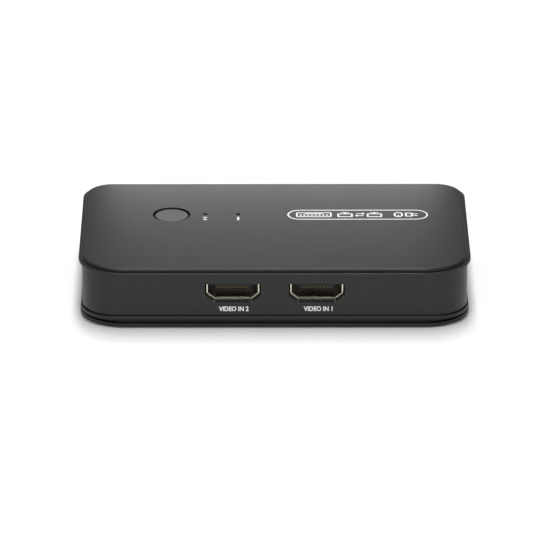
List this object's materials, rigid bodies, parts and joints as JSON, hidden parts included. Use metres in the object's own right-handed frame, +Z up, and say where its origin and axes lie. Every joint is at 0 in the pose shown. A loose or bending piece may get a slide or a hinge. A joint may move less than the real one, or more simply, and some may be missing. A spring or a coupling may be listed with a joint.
{
  "type": "kvm switch",
  "caption": "Flat black desktop switch box with a select button and status lights on top and video and USB sockets in its long sides.",
  "frame": {"origin": "centre of the footprint, on the surface that the rubber feet stand on", "axes": "+X along the case, -Y towards the video inputs, +Y towards the user, +Z up"},
  "size_m": [0.11, 0.066, 0.0176],
  "materials": {
    "case_plastic": "fine moulded texture, matte black",
    "button_plastic": "smooth matte black",
    "foot_rubber": "matte",
    "screw_steel": "zinc plated",
    "socket_steel": "bright nickel plated sheet",
    "contact_gold": "gold plated",
    "socket_plastic": "black glass-filled moulding",
    "board_laminate": "green solder mask",
    "chip_epoxy": "moulded epoxy",
    "tinned_metal": "tin plated",
    "ferrite": "pressed ferrite",
    "ceramic": "fired ceramic with tinned ends",
    "clear_plastic": "clear moulded acrylic",
    "lamp_resin": "clear resin over phosphor",
    "white_print": "screen printed white ink"
  },
  "bodies": {
    "case": {"top_cover": "case_plastic", "wall_frame": "case_plastic", "base_cover": "case_plastic", "rubber_feet": "foot_rubber", "case_screws": "screw_steel", "circuit_board": "board_laminate", "switch_housing": "socket_plastic", "switch_cover": "socket_steel", "switch_dome": "screw_steel", "switch_terminals": "tinned_metal", "light_pipe_1": "clear_plastic", "light_pipe_2": "clear_plastic", "led_1": "lamp_resin", "led_2": "lamp_resin", "video_in_1_shell": "socket_steel", "video_in_1_tongue": "socket_plastic", "video_in_1_contacts": "contact_gold", "video_in_2_shell": "socket_steel", "video_in_2_tongue": "socket_plastic", "video_in_2_contacts": "contact_gold", "video_out_shell": "socket_steel", "video_out_tongue": "socket_plastic", "video_out_contacts": "contact_gold", "usb_keyboard_shell": "socket_steel", "usb_keyboard_tongue": "socket_plastic", "usb_keyboard_contacts": "contact_gold", "usb_mouse_shell": "socket_steel", "usb_mouse_tongue": "socket_plastic", "usb_mouse_contacts": "contact_gold", "usb_computer_1_shell": "socket_steel", "usb_computer_1_tongue": "socket_plastic", "usb_computer_1_contacts": "contact_gold", "usb_computer_2_shell": "socket_steel", "usb_computer_2_tongue": "socket_plastic", "usb_computer_2_contacts": "contact_gold", "video_switch_chip": "chip_epoxy", "usb_hub_chip": "chip_epoxy", "controller_chip": "chip_epoxy", "memory_chip": "chip_epoxy", "chip_pins": "tinned_metal", "voltage_regulator": "chip_epoxy", "power_inductor": "ferrite", "crystals": "socket_steel", "bulk_capacitors": "tinned_metal", "ceramic_capacitors": "ceramic", "resistors": "chip_epoxy", "surge_arrays": "chip_epoxy"},
    "button": {"select_button": "button_plastic"},
    "plunger": {"switch_plunger": "socket_plastic"}
  },
  "joints": [
    {"name": "button_press", "type": "slide", "parent": "case", "child": "button", "axis": [0, 0, -1], "range_m": [0, 0.00035], "stiffness_N_per_m": 3000, "springref_m": -0.0003},
    {"name": "plunger_press", "type": "slide", "parent": "case", "child": "plunger", "axis": [0, 0, -1], "range_m": [0, 0.00035], "deforming": ["switch_dome"]}
  ],
  "couplings": [
    {"joint": "plunger_press", "follows": "button_press", "ratio": 1}
  ]
}
